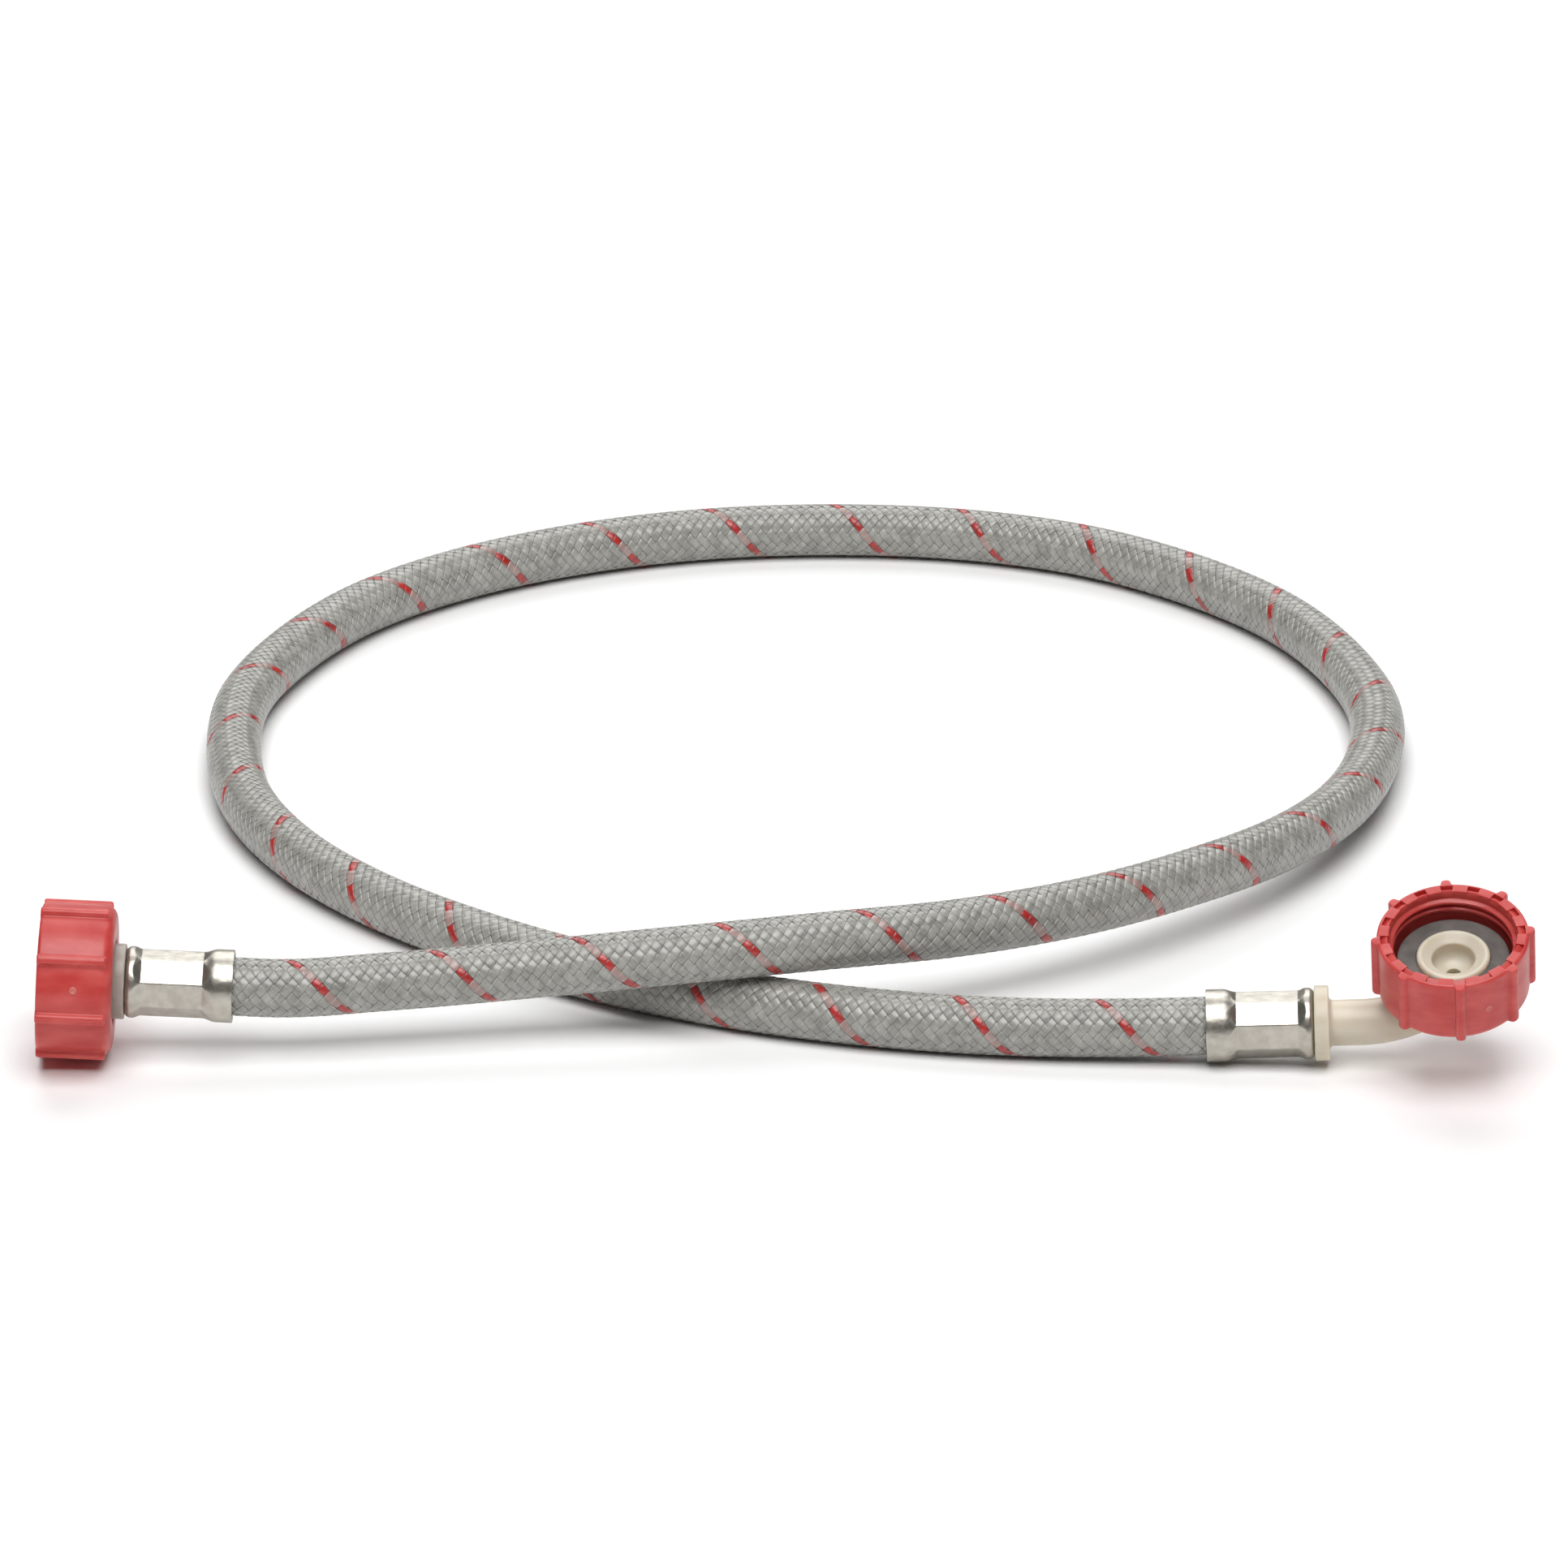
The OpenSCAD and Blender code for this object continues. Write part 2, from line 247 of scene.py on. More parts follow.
def add_camera():
    """Camera at the reference view, looking along +Y and down."""
    data = bpy.data.cameras.new("camera")
    data.lens = CAMERA_LENS
    data.sensor_width = SENSOR
    data.clip_end = 20
    camera = bpy.data.objects.new("camera", data)
    back = Vector((0, -math.cos(CAMERA_ELEVATION), math.sin(CAMERA_ELEVATION)))
    camera.location = CAMERA_TARGET + CAMERA_DISTANCE * back
    camera.rotation_euler = (math.pi / 2 - CAMERA_ELEVATION, 0, 0)
    bpy.context.scene.collection.objects.link(camera)
    bpy.context.scene.camera = camera


def add_piece(name, points, faces, material, body, place=None, sharp=None, facts=()):
    """A smooth mesh piece from millimetre points, riding on a body.

    place is the matrix that takes it into the frame. facts are values to keep on its points.
    """
    mesh = bpy.data.meshes.new(name)
    mesh.from_pydata((np.asarray(points, float) * MM).tolist(), [], faces)
    mesh.polygons.foreach_set("use_smooth", [True] * len(mesh.polygons))
    if sharp is not None:
        mesh.set_sharp_from_angle(angle=math.radians(sharp))
    if place is not None:
        mesh.transform(place)
    for fact, values in dict(facts).items():
        mesh.attributes.new(fact, "FLOAT", "POINT").data.foreach_set("value", np.ravel(values))
    mesh.materials.append(material)
    piece = bpy.data.objects.new(name, mesh)
    bpy.context.scene.collection.objects.link(piece)
    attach(piece, body)
    return piece


def grid_faces(rows, columns, closed_rows):
    """Quads between neighbouring rows of a grid whose columns close into rings."""
    a = np.arange(rows if closed_rows else rows - 1)[:, None]
    b = np.arange(columns)[None, :]
    a_next = (a + 1) % rows
    b_next = (b + 1) % columns
    pairs = (a, b), (a, b_next), (a_next, b_next), (a_next, b)
    corners = np.broadcast_arrays(*(row * columns + column for row, column in pairs))
    return np.stack(corners, -1).reshape(-1, 4).tolist()


# ---------------------------------------------------------------- route

def slope(a, b, c):
    back = np.linalg.norm(b - a)
    on = np.linalg.norm(c - b)
    return ((b - a) / back * on + (c - b) / on * back) / (back + on)


def curve(a, b, c, d, t):
    chord = np.linalg.norm(c - b)
    return (
        (2 * t**3 - 3 * t**2 + 1) * b
        + (t**3 - 2 * t**2 + t) * chord * slope(a, b, c)
        + (3 * t**2 - 2 * t**3) * c
        + (t**3 - t**2) * chord * slope(b, c, d)
    )


def centre_line():
    """Points along the route, and their distance from the straight ferrule's mouth."""
    p = [np.array(point, float) for point in ROUTE]
    p = [2 * p[0] - p[1]] + p + [2 * p[-1] - p[-2]]
    points = [
        curve(p[i], p[i + 1], p[i + 2], p[i + 3], k / ROUTE_STEPS)
        for i in range(len(ROUTE) - 1)
        for k in range(ROUTE_STEPS)
    ]
    points = np.array(points + [p[-2]])
    steps = np.linalg.norm(np.diff(points, axis=0), axis=1)
    distance = np.concatenate([[0], np.cumsum(steps)])
    return points, distance - distance[ROUTE_STEPS]


LINE, LINE_S = centre_line()
TANGENT = np.gradient(LINE, LINE_S, axis=0)
TANGENT /= np.linalg.norm(TANGENT, axis=1)[:, None]
LEFT = np.cross([0, 0, 1], TANGENT)
LEFT /= np.linalg.norm(LEFT, axis=1)[:, None]
RISE = np.cross(TANGENT, LEFT)
FREE_LENGTH = LINE_S[-1 - ROUTE_STEPS]


def along(values, s):
    return np.stack([np.interp(s, LINE_S, values[:, k]) for k in range(3)], -1)


def on_hose(s, angle, radius):
    """Points at these distances, angles and radii around the centre line."""
    side = along(LEFT, s) * np.cos(angle)[..., None] + along(RISE, s) * np.sin(angle)[..., None]
    return along(LINE, s) + side * np.asarray(radius)[..., None]


def squeeze(s):
    """Share of the way to the crimped radius, inside either ferrule."""
    depth = np.maximum(-s, s - FREE_LENGTH)
    return np.clip((depth - TAPER_START) / TAPER_LENGTH, 0, 1)


# ---------------------------------------------------------------- materials

class Nodes:
    """Short calls for the nodes of one material or world."""

    def __init__(self, name, owners="materials"):
        self.owner = getattr(bpy.data, owners).new(name)
        self.owner.use_nodes = True
        self.tree = self.owner.node_tree
        shader = "Background" if owners == "worlds" else "Principled BSDF"
        self.shader = self.tree.nodes[shader]

    def add(self, kind, inputs=(), **settings):
        node = self.tree.nodes.new("ShaderNode" + kind)
        for key, value in settings.items():
            setattr(node, key, value)
        for key, value in dict(inputs).items():
            self.set(node, key, value)
        return node

    def set(self, node, key, value):
        socket = node.inputs[key]
        if isinstance(value, bpy.types.NodeSocket):
            self.tree.links.new(value, socket)
        else:
            socket.default_value = value

    def shade(self, **inputs):
        for key, value in inputs.items():
            self.set(self.shader, key.replace("_", " "), value)

    def noise(self, scale, detail=3, stretch=(1, 1, 1)):
        """Noise over the object's own millimetres."""
        place = self.add("TexCoord").outputs["Object"]
        mapping = self.add("Mapping", {"Vector": place, "Scale": [v / MM for v in stretch]})
        return self.add(
            "TexNoise", {"Vector": mapping.outputs[0], "Scale": scale, "Detail": detail}
        ).outputs["Fac"]

    def ramp(self, value, low, high):
        """Value stretched so that low becomes 0 and high becomes 1."""
        return self.add("MapRange", {"Value": value, "From Min": low, "From Max": high}).outputs[0]

    def scale_to(self, value, low, high):
        return self.add("MapRange", {"Value": value, "To Min": low, "To Max": high}).outputs[0]

    def maths(self, operation, a, b):
        return self.add("Math", {0: a, 1: b}, operation=operation).outputs[0]

    def mix(self, factor, a, b):
        node = self.add("Mix", data_type="RGBA")
        for key, value in zip((0, 6, 7), (factor, a, b)):
            if isinstance(value, bpy.types.NodeSocket):
                self.tree.links.new(value, node.inputs[key])
            else:
                node.inputs[key].default_value = value
        return node.outputs[2]

    def bump(self, height, distance, strength=1.0, normal=None):
        inputs = {"Height": height, "Distance": distance * MM, "Strength": strength}
        if normal is not None:
            inputs["Normal"] = normal
        return self.add("Bump", inputs).outputs[0]


def rgb(r, g, b):
    """Linear colour of an sRGB triple whose values lie between 11 and 255."""
    return (*(((c / 255 + 0.055) / 1.055) ** 2.4 for c in (r, g, b)), 1)


def ribbon_material(name, deep, pale, over_tracer):
    """Flat, slightly clear ribbon of filaments, which shows the ribbons it lies over.

    It sinks between two ribbons below and takes painted shade there, which also stands for the
    dark liner seen through the gap, and its edges take a painted highlight.
    """
    n = Nodes(name)
    own = n.add("Attribute", attribute_name="own").outputs["Fac"]
    under = n.add("Attribute", attribute_name="under").outputs["Fac"]
    lengthways = n.add("Attribute", attribute_name="lengthways").outputs["Fac"]
    place = n.add("CombineXYZ", {"X": own, "Y": lengthways}).outputs[0]
    strand = n.add("Mapping", {"Vector": place, "Scale": (19, 0.35, 1)}).outputs[0]
    filaments = n.add("TexNoise", {"Vector": strand, "Scale": 1, "Detail": 2}).outputs["Fac"]
    patches = n.noise(0.35, 2)
    tone = n.ramp(n.maths("ADD", filaments, patches), 0.7, 1.3)
    # Mask over the seam between two ribbons below: it darkens the colour with painted shade and
    # also dents the surface
    crease = n.ramp(n.maths("PINGPONG", under, 0.5), 0.36, 0.5)
    # Mask for the painted highlight along both edges of the ribbon
    edge = n.ramp(n.maths("PINGPONG", own, 0.5), 0.34, 0.46)
    colour = n.mix(tone, deep, pale)
    if over_tracer:
        tint = n.ramp(n.maths("PINGPONG", under, CARRIERS / 2), 0.5, 0.38)
        colour = n.mix(n.scale_to(tint, 0, 0.4), colour, TRACER_TINT)
    # Painted highlight: the ribbon's edges lightened toward pale grey
    colour = n.mix(n.scale_to(edge, 0, 0.4), colour, PAINTED_EDGE_HIGHLIGHT)
    # Painted shade over the seam between two ribbons below, partly standing for the dark liner
    # seen through the gap
    colour = n.mix(n.scale_to(crease, 0, 0.32), colour, CREASE_SHADE)
    dip = n.bump(n.maths("SUBTRACT", 1, crease), 0.12)
    n.shade(
        Base_Color=colour,
        Roughness=n.scale_to(filaments, 0.26, 0.44),
        Normal=n.bump(filaments, 0.04, 0.5, dip),
    )
    n.shade(Specular_IOR_Level=0.6, Coat_Weight=0.3, Coat_Roughness=0.2)
    return n.owner


def plastic_material(name, deep, pale, scatter, radius):
    """Moulded plastic: faint flow marks, a fine skin, and light that soaks in a little."""
    n = Nodes(name)
    flow = n.noise(0.12, 3, stretch=(1, 1, 2.5))
    skin = n.noise(2.5, 4)
    n.shade(
        Base_Color=n.mix(n.ramp(flow, 0.35, 0.68), deep, pale),
        Roughness=n.scale_to(skin, 0.3, 0.45),
        Normal=n.bump(skin, 0.02, 0.5, n.bump(flow, 0.15, 0.4)),
        Subsurface_Weight=scatter,
        Subsurface_Radius=[r * MM for r in radius],
    )
    n.shade(Subsurface_Scale=1.0, Specular_IOR_Level=0.5)
    return n.owner


def steel_material():
    """Bright pressed sheet: fine draw lines round it, faint dents and a warm cast."""
    n = Nodes("pressed_steel")
    lines = n.add("Attribute", attribute_name="lengthways").outputs["Fac"]
    round_it = n.add("Attribute", attribute_name="across").outputs["Fac"]
    place = n.add("CombineXYZ", {"X": lines, "Y": round_it}).outputs[0]
    fine = n.add("Mapping", {"Vector": place, "Scale": (7, 0.6, 1)}).outputs[0]
    drawn = n.add("TexNoise", {"Vector": fine, "Scale": 1, "Detail": 4}).outputs["Fac"]
    dents = n.noise(0.45, 3)
    n.shade(
        Base_Color=n.mix(n.ramp(dents, 0.35, 0.65), rgb(176, 171, 161), rgb(192, 188, 179)),
        Metallic=1.0,
        Roughness=n.scale_to(drawn, 0.26, 0.46),
        Normal=n.bump(drawn, 0.02, 0.5, n.bump(dents, 0.25, 0.5)),
    )
    return n.owner


def rubber_material(name, deep, pale):
    """Matt rubber with a fine grain and a dusty bloom."""
    n = Nodes(name)
    grain = n.noise(3, 5)
    bloom = n.noise(0.25, 2)
    n.shade(
        Base_Color=n.mix(n.ramp(bloom, 0.35, 0.7), deep, pale),
        Roughness=n.scale_to(grain, 0.55, 0.75),
        Normal=n.bump(grain, 0.04, 0.6),
    )
    return n.owner


TRACER_TINT = rgb(176, 100, 96)
# Colour of the painted highlight on the ribbons' edges
PAINTED_EDGE_HIGHLIGHT = rgb(206, 205, 200)
# Colour of the painted shade over seams between ribbons below, partly the dark liner seen through
CREASE_SHADE = rgb(66, 66, 62)
GREYS = rgb(122, 121, 115), rgb(176, 175, 169)
RIGHT_RIBBON = ribbon_material("nylon_right", *GREYS, False)
LEFT_RIBBON = ribbon_material("nylon_left", *GREYS, True)
RED_RIBBON = ribbon_material("red_ribbon", rgb(150, 30, 28), rgb(188, 48, 44), False)
RED_PLASTIC = plastic_material(
    "nut_plastic", rgb(190, 56, 53), rgb(206, 84, 79), 0.25, (2, 0.5, 0.4)
)
GATE_PLASTIC = plastic_material(
    "gate_mark", rgb(204, 96, 90), rgb(214, 124, 116), 0.2, (2, 0.6, 0.5)
)
IVORY_NYLON = plastic_material(
    "ivory_nylon", rgb(205, 196, 176), rgb(212, 205, 188), 0.6, (3, 2.4, 1.6)
)
GREY_NYLON = plastic_material(
    "grey_nylon", rgb(158, 149, 140), rgb(174, 166, 158), 0.4, (2, 1.7, 1.4)
)
STEEL = steel_material()
WASHER_RUBBER = rubber_material("washer_rubber", rgb(84, 80, 77), rgb(108, 103, 99))
TUBE_RUBBER = rubber_material("tube_rubber", rgb(88, 87, 84), rgb(104, 103, 100))


# ---------------------------------------------------------------- hose

def ribbon(way, number):
    """One ribbon of the braid: its points in rings, and facts about them.

    way is 1 for the right-handed family and -1 for the other. Ribbon 0 of the first is the tracer.
    own is whole along the middle of each ribbon of its family, and under is whole over the middle
    of each ribbon of the other family.
    """
    first = math.ceil((-HIDDEN_END - WEAVE_START) / CROSSING)
    last = math.floor((FREE_LENGTH + HIDDEN_END - WEAVE_START) / CROSSING)
    samples = (last - first) * SAMPLES_PER_CROSSING
    crossing = first + (np.arange(samples) + 0.5) / SAMPLES_PER_CROSSING
    phase = crossing + 2 * number if way > 0 else 2 * number - crossing
    wave = way * np.cos(math.pi / 2 * (phase - 0.5))
    wave = wave * (1.5 - 0.5 * wave**2)
    s = WEAVE_START + crossing * CROSSING
    start_angle = TRACER_ANGLE + 2 * math.pi * WEAVE_START / PITCH
    angle = start_angle + 2 * math.pi * (way * crossing / (2 * CARRIERS) + number / CARRIERS)
    full_width = TRACER_W if way > 0 and number == 0 else RIBBON_W
    half_width = full_width / 2 * (1 - RIBBON_NARROWS * (1 - wave**2))
    across, skin = np.array(RIBBON_OUTLINE).T
    lean = math.atan2(2 * math.pi * HOSE_R, PITCH)
    offset = across * half_width[:, None]
    s_grid = s[:, None] - offset * math.sin(lean) * way
    angle_grid = angle[:, None] + offset * math.cos(lean) / HOSE_R
    middle = HOSE_R - RIBBON_T / 2 - RIBBON_RISE - (HOSE_R - CRIMPED_R) * squeeze(s)
    radius = (middle + RIBBON_RISE * wave)[:, None] + skin * RIBBON_T / 2
    turns = (angle_grid - start_angle) * CARRIERS / (2 * math.pi)
    climb = way * (s_grid - WEAVE_START) / CROSSING / 2
    facts = {
        "own": turns - climb,
        "under": turns + climb,
        "lengthways": np.broadcast_to(s[:, None], s_grid.shape),
    }
    return on_hose(s_grid, angle_grid, radius), facts


def tube_faces(rings, ring_size):
    """Faces of a tube of rings, with a cap on each end."""
    last = (rings - 1) * ring_size
    caps = [list(range(ring_size))[::-1], list(range(last, last + ring_size))]
    return grid_faces(rings, ring_size, False) + caps


def braid_piece(name, way, numbers, material):
    """Several ribbons of one family as one piece."""
    points, faces, facts = [], [], []
    for number in numbers:
        rings, ribbon_facts = ribbon(way, number)
        first = sum(len(p) for p in points)
        faces += [[v + first for v in face] for face in tube_faces(*rings.shape[:2])]
        points.append(rings.reshape(-1, 3))
        facts.append(ribbon_facts)
    joined = {key: np.concatenate([np.ravel(f[key]) for f in facts]) for key in facts[0]}
    return add_piece(
        name, np.concatenate(points), faces, material, "hose", facts=joined
    )


def build_liner():
    """Rubber tube under the braid."""
    s = np.linspace(-LINER_END, FREE_LENGTH + LINER_END, LINER_RINGS)
    angle = np.linspace(0, 2 * math.pi, LINER_SIDES, endpoint=False)
    s_grid, angle_grid = np.meshgrid(s, angle, indexing="ij")
    outer = LINER_R - LINER_SQUEEZE * squeeze(s_grid)
    skins = [
        on_hose(s_grid, angle_grid, outer).reshape(-1, 3),
        on_hose(s_grid[::-1], angle_grid, np.full_like(s_grid, BORE_R)).reshape(-1, 3),
    ]
    faces = grid_faces(2 * LINER_RINGS, LINER_SIDES, True)
    faces = [face[::-1] for face in faces]
    return add_piece("liner", np.concatenate(skins), faces, TUBE_RUBBER, "hose")


def build_hose():
    """Braid, tracer and liner, in place of the CAD braid and liner."""
    half = CARRIERS // 2
    tracer = braid_piece("tracer_ribbon", 1, [0], RED_RIBBON)
    braid = braid_piece("braid_right_a", 1, range(1, half), RIGHT_RIBBON)
    others = [
        braid_piece("braid_right_b", 1, range(half, CARRIERS), RIGHT_RIBBON),
        braid_piece("braid_left_a", -1, range(half), LEFT_RIBBON),
        braid_piece("braid_left_b", -1, range(half, CARRIERS), LEFT_RIBBON),
    ]
    liner = build_liner()
    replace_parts(braid, "hose_braid")
    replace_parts(liner, "hose_liner")


# ---------------------------------------------------------------- fittings

def axes(origin, x=None, z=None, near=UP):
    """Matrix of a part placed at origin, from one exact axis and a direction near the other."""
    if z is None:
        x = Vector(x).normalized()
        z = (Vector(near) - x * x.dot(near)).normalized()
    else:
        z = Vector(z).normalized()
        x = (Vector(near) - z * z.dot(near)).normalized()
    y = z.cross(x)
    matrix = Matrix((x, y, z)).transposed().to_4x4()
    matrix.translation = Vector(origin)
    return matrix


def joint(name):
    """Axis of a joint, and the back face's centre of the nut that turns on it."""
    spec = next(j for j in frame["joints"] if j["name"] == name)
    axis = Vector(spec["axis"]).normalized()
    return axis, Vector(spec["pos_m"]) - axis * NUT_LEN / 2 * MM


STRAIGHT_OUT = Vector(ROUTE[0]) - Vector(ROUTE[1])
ELBOW_OUT = Vector(ROUTE[-1]) - Vector(ROUTE[-2])
STRAIGHT_AXIS, STRAIGHT_BACK = joint("straight_nut_spin")
ELBOW_AXIS, ELBOW_BACK = joint("elbow_nut_spin")
AT_STRAIGHT_MOUTH = axes(Vector(ROUTE[1]) * MM, x=STRAIGHT_OUT)
AT_ELBOW_MOUTH = axes(Vector(ROUTE[-2]) * MM, x=ELBOW_OUT)
ALONG_ELBOW = axes(Vector(ROUTE[-2]) * MM, x=ELBOW_OUT, near=ELBOW_AXIS)
ON_STRAIGHT_NUT = axes(STRAIGHT_BACK, z=STRAIGHT_AXIS, near=-UP)
ON_ELBOW_NUT = axes(ELBOW_BACK, z=ELBOW_AXIS, near=ELBOW_OUT)


def turned(profile, columns=96):
    """Rings of points from a closed (radius, z) profile turned about z."""
    angle = np.linspace(0, 2 * math.pi, columns, endpoint=False)
    r, z = np.array(profile, float).T
    height = np.broadcast_to(z[:, None], (len(z), columns))
    return np.stack([r[:, None] * np.cos(angle), r[:, None] * np.sin(angle), height], -1)


def ring_piece(name, rings, material, body, place, sharp, facts=()):
    """Closed piece from rings of points, whose last ring joins the first."""
    faces = grid_faces(rings.shape[0], rings.shape[1], True)
    points = rings.reshape(-1, 3)
    return add_piece(name, points, faces, material, body, place, sharp, facts)


def arc(centre_r, centre_z, radius, start, end, steps=6):
    """Points of a (radius, z) arc, with angles in degrees from the radial direction."""
    angles = [math.radians(start + (end - start) * k / steps) for k in range(steps + 1)]
    return [(centre_r + radius * math.cos(a), centre_z + radius * math.sin(a)) for a in angles]


def smooth_step(x):
    x = np.clip(x, 0, 1)
    return x * x * (3 - 2 * x)


# Along-x rings become (x, y, z) by turning z into x
Z_TO_X = Matrix(((0, 0, 1), (0, 1, 0), (-1, 0, 0))).to_4x4()


def build_ferrule(name, place):
    """Crimped sleeve: flared mouth, eight pressed flats with cushioned ends, rounded shoulder."""
    x = np.concatenate([
        [0, 0.06, 0.2], np.arange(0.6, 3.2, 0.5), np.arange(3.2, 6.8, 0.14),
        np.arange(6.9, 18, 1), np.arange(18.1, SHOULDER_X, 0.14),
    ])
    body = MOUTH_R + (WAIST_R - MOUTH_R) * smooth_step((x - FLARE_END) / (FLATS_START - FLARE_END))
    body += (SHOULDER_R - WAIST_R) * smooth_step((x - FLATS_END) / (SHOULDER_X - 0.5 - FLATS_END))
    body[:2] -= MOUTH_EDGE
    angle = np.linspace(0, 2 * math.pi, FERRULE_COLUMNS, endpoint=False)
    side = 2 * math.pi / FLAT_SIDES
    from_flat = (angle + side / 2) % side - side / 2
    past = np.maximum(FLATS_START - x, 0) + np.maximum(x - FLATS_END, 0)
    flats = (FLATS_R + FLAT_RISE * past)[:, None] / np.cos(from_flat)
    soft = np.logaddexp(-body[:, None] / RIDGE_SOFTNESS, -flats / RIDGE_SOFTNESS)
    outer = -RIDGE_SOFTNESS * soft
    shoulder = arc(SHOULDER_R - SHOULDER_ROUND, SHOULDER_X, SHOULDER_ROUND, 0, 90, 8)
    neck = PIPE_R + NECK_GAP
    end = FERRULE_LEN - END_WALL
    inside = [
        (neck, FERRULE_LEN), (neck, end), (FLATS_R - WALL, end), (FLATS_R - WALL, FLATS_START),
        (MOUTH_R - WALL - 0.2, 1.5), (MOUTH_R - WALL, 0),
    ]
    rest_r, rest_x = np.array(shoulder + inside).T
    radius = np.concatenate([outer, np.repeat(rest_r[:, None], FERRULE_COLUMNS, 1)])
    along_x = np.concatenate([x, rest_x])[:, None] + 0 * radius
    rings = np.stack([along_x, radius * np.cos(angle), radius * np.sin(angle)], -1)
    facts = {"lengthways": along_x, "across": radius * angle}
    return ring_piece(name, rings, STEEL, "hose", place, SHARP_STEEL, facts)


def barbs():
    """Outline of the barbed spigot and the neck through the ferrule's end, as (radius, x)."""
    pitch = BARBS_LEN / BARB_COUNT
    outline = []
    for i in range(BARB_COUNT):
        root = TAIL_START + i * pitch
        outline += [(BARB_ROOT_R, root), (BARB_R, TAIL_START + (i + 0.95) * pitch)]
    return outline + [(PIPE_R, FERRULE_LEN - END_WALL), (PIPE_R, FERRULE_LEN)]


def collar():
    """Outline of the collar with its rounded edges."""
    r, edge = COLLAR_R, COLLAR_EDGE
    return (
        [(r - edge, FERRULE_LEN)]
        + arc(r - edge, FERRULE_LEN + edge, edge, -90, 0, 4)[1:]
        + arc(r - edge, COLLAR_END - edge, edge, 0, 90, 4)
    )


def spigot(back=0):
    """Outline from the flange over the spigot's rim and down its throat, as (radius, z).

    back is where the nut's back face lies on the outline's z axis.
    """
    outline = [
        (FLANGE_R - EDGE, FLANGE_Z), (FLANGE_R, FLANGE_Z + EDGE), (FLANGE_R, GASKET_Z - EDGE),
        (FLANGE_R - EDGE, GASKET_Z), (SPIGOT_R, GASKET_Z),
    ]
    outline += [(r, SPIGOT_TOP - depth) for r, depth in SPIGOT_OUTLINE]
    return [(r, z + back) for r, z in outline]


def build_straight_tail():
    """Barbs, collar, hub, flange and dished spigot on one straight axis."""
    back = (STRAIGHT_BACK - Vector(ROUTE[1]) * MM).length / MM
    profile = barbs() + collar() + [(HUB_R, COLLAR_END), (HUB_R, back + FLANGE_Z)] + spigot(back)
    profile += [(PASSAGE_R, TAIL_START)]
    place = AT_STRAIGHT_MOUTH @ Z_TO_X
    tail = ring_piece(
        "straight_tail_body", turned(profile), GREY_NYLON, "hose", place, 50
    )
    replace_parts(tail, "straight_tail")


def bent(profile):
    """Rings of a (radius, x) profile swept along the elbow's pipe, straight and then in an arc."""
    straight_end = COLLAR_END + BEND_START
    angle = np.linspace(0, 2 * math.pi, 96, endpoint=False)
    rings = []
    for r, x in profile:
        bend = max(x - straight_end, 0) / BEND_R
        forward = min(x, straight_end) + BEND_R * math.sin(bend)
        centre = np.array([forward, 0, BEND_R * (1 - math.cos(bend))])
        side = np.array([0, 1, 0])
        out = np.array([-math.sin(bend), 0, math.cos(bend)])
        rings.append(centre + r * (np.cos(angle)[:, None] * side + np.sin(angle)[:, None] * out))
    return np.array(rings)


def build_elbow_tail():
    """Barbs, collar and bent pipe as one sweep, and the head as a turned piece."""
    bend_end = COLLAR_END + BEND_START + BEND_R * BEND_ANGLE
    fillet = arc(PIPE_R + PIPE_FILLET, COLLAR_END + PIPE_FILLET, PIPE_FILLET, -90, -180, 5)
    pipe = [(PIPE_R, x) for x in np.linspace(PIPE_START, bend_end, 40)]
    bore = [(PASSAGE_R, x) for x in np.linspace(bend_end, TAIL_START, 50)]
    profile = barbs() + collar() + fillet + pipe + bore
    tail = ring_piece(
        "elbow_pipe_body", bent(profile), IVORY_NYLON, "hose", ALONG_ELBOW, 50
    )
    head = [(PASSAGE_R, HUB_Z), (HUB_R - 0.4, HUB_Z), (HUB_R, HUB_Z + 0.4), (HUB_R, FLANGE_Z)]
    ring_piece(
        "elbow_head", turned(head + spigot()), IVORY_NYLON, "hose", ON_ELBOW_NUT, 50
    )
    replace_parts(tail, "elbow_tail")


def build_washer(name, node, place):
    """Flat washer with softened edges."""
    top = GASKET_Z + GASKET_T
    outer, inner = WASHER_R, WASHER_BORE_R
    profile = [
        (inner + 0.2, GASKET_Z), (outer - 0.2, GASKET_Z), (outer, GASKET_Z + 0.2),
        (outer, top - 0.25), (outer - 0.08, top - 0.08), (outer - 0.25, top), (inner + 0.25, top),
        (inner + 0.08, top - 0.08), (inner, top - 0.25), (inner, GASKET_Z + 0.2),
    ]
    washer = ring_piece(
        name, turned(profile), WASHER_RUBBER, "hose", place, 40
    )
    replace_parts(washer, node)


# ---------------------------------------------------------------- nuts

def sector_angles():
    """Angles round a nut, in radians, closer together at the edges of ribs and pockets.

    With them come each one's angle from the middle of its pocket, in degrees, and the pocket's
    number. Ribs stand at the even pockets.
    """
    sector = 360 / POCKETS
    offsets = [-sector / 2] + [-a for a in SECTOR_ANGLES[:0:-1]] + SECTOR_ANGLES
    angles = [k * sector + offset for k in range(POCKETS) for offset in offsets]
    numbers = np.repeat(np.arange(POCKETS), len(offsets))
    return np.radians(angles), np.array(offsets * POCKETS), numbers


def thread_radius(angle, z):
    """Radius of the internal thread, whose ridge climbs one pitch for each turn."""
    turn = (z / THREAD_PITCH - angle / (2 * math.pi)) % 1
    ridge = smooth_step((THREAD_RIDGE - abs(turn - 0.5)) / THREAD_FLANK)
    radius = THREAD_MAJOR_R + (THREAD_MINOR_R - THREAD_MAJOR_R) * ridge
    start = smooth_step((LIP_END - z) / THREAD_FADE_IN)
    end = smooth_step((z - SPIGOT_TOP) / THREAD_FADE_OUT)
    radius = LIP_R + (radius - LIP_R) * start
    return CHAMBER_R + (radius - CHAMBER_R) * end


